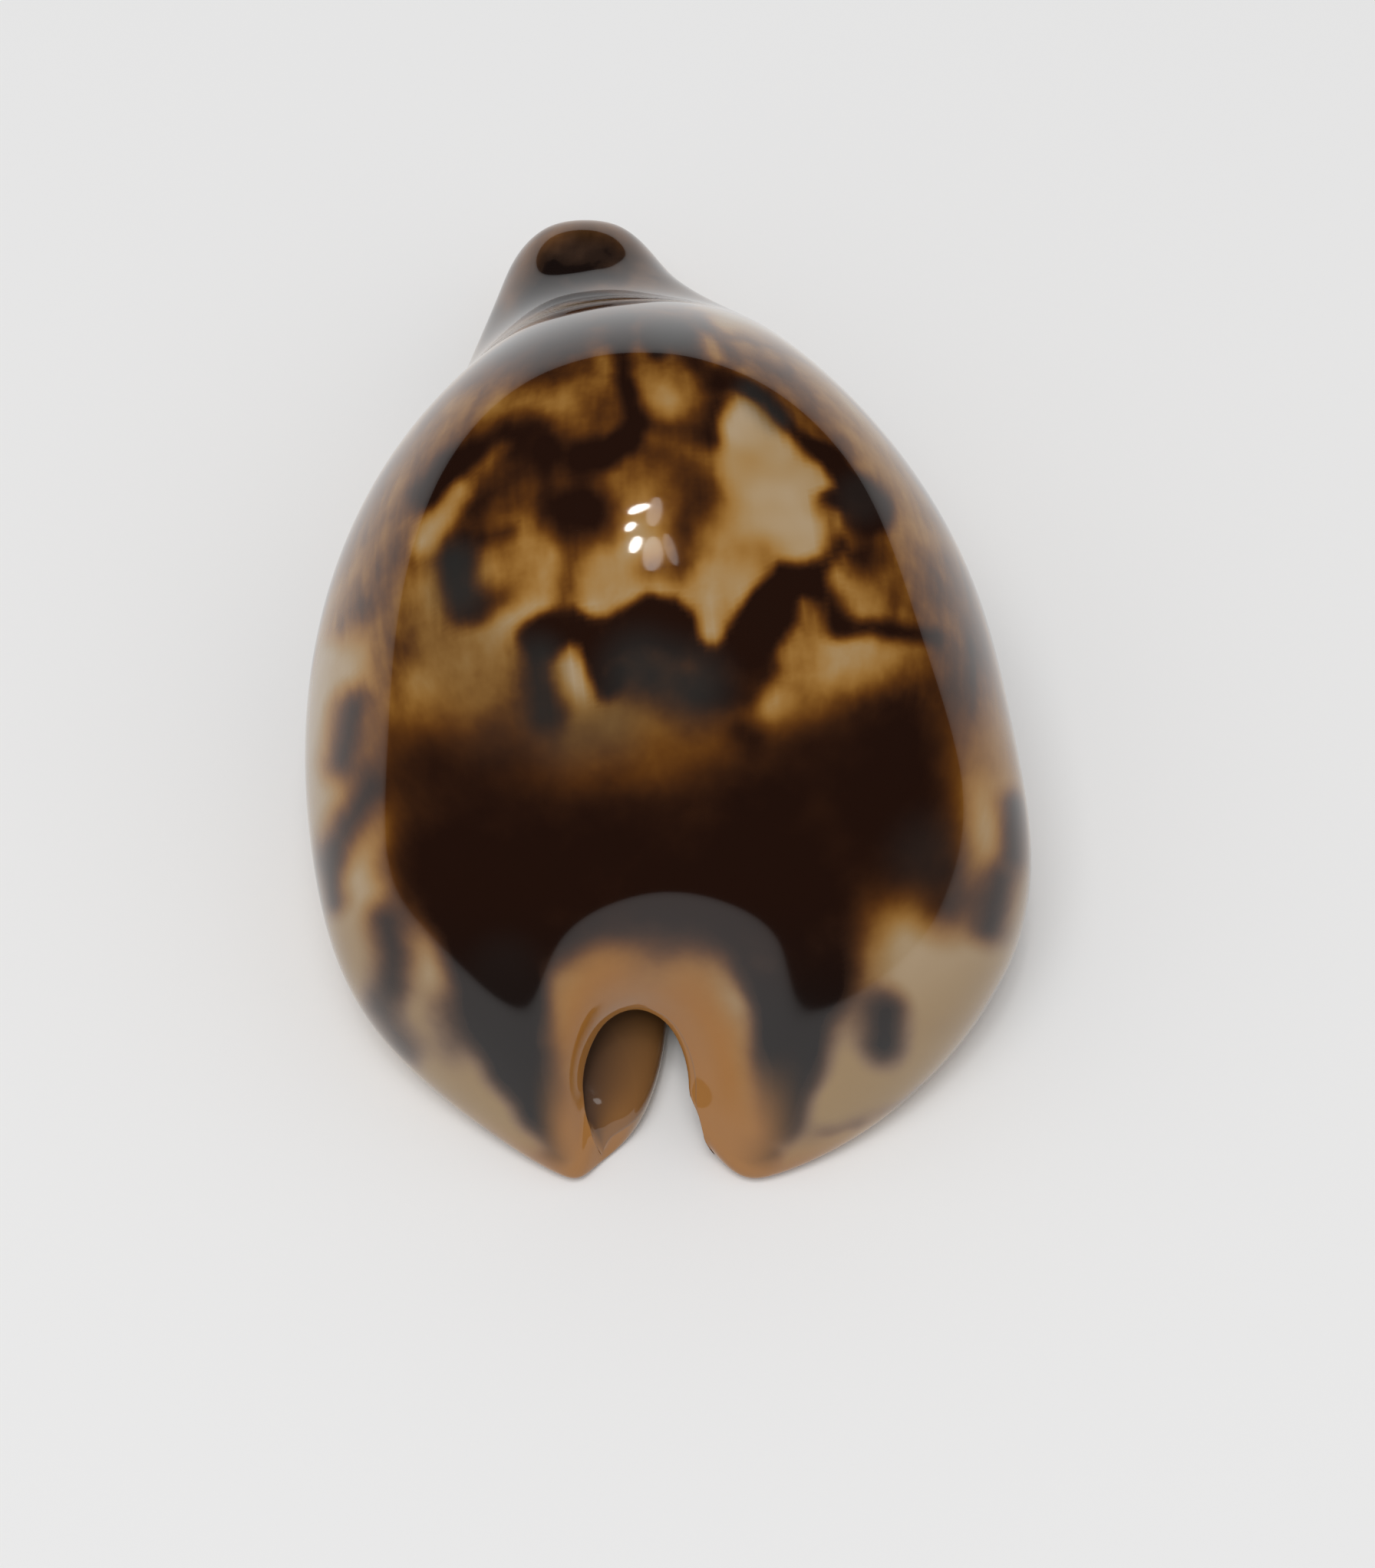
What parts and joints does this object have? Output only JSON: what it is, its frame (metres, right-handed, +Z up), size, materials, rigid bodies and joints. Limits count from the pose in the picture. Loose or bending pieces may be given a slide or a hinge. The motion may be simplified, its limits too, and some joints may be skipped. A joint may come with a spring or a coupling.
{
  "type": "cowrie shell",
  "caption": "Empty pear-shaped cowrie shell: humped glossy back, thick margins, a long toothed mouth in the flat base, a notch at the broad end and a snout at the narrow one.",
  "frame": {"origin": "under the middle of the shell, on the plane it rests on", "axes": "+X towards the outer (labral) lip, +Y towards the narrow front end, +Z up through the back"},
  "size_m": [0.0425, 0.0638, 0.0342],
  "materials": {
    "enamel": "high natural gloss"
  },
  "bodies": {
    "root": {"shell": "enamel"}
  },
  "joints": []
}
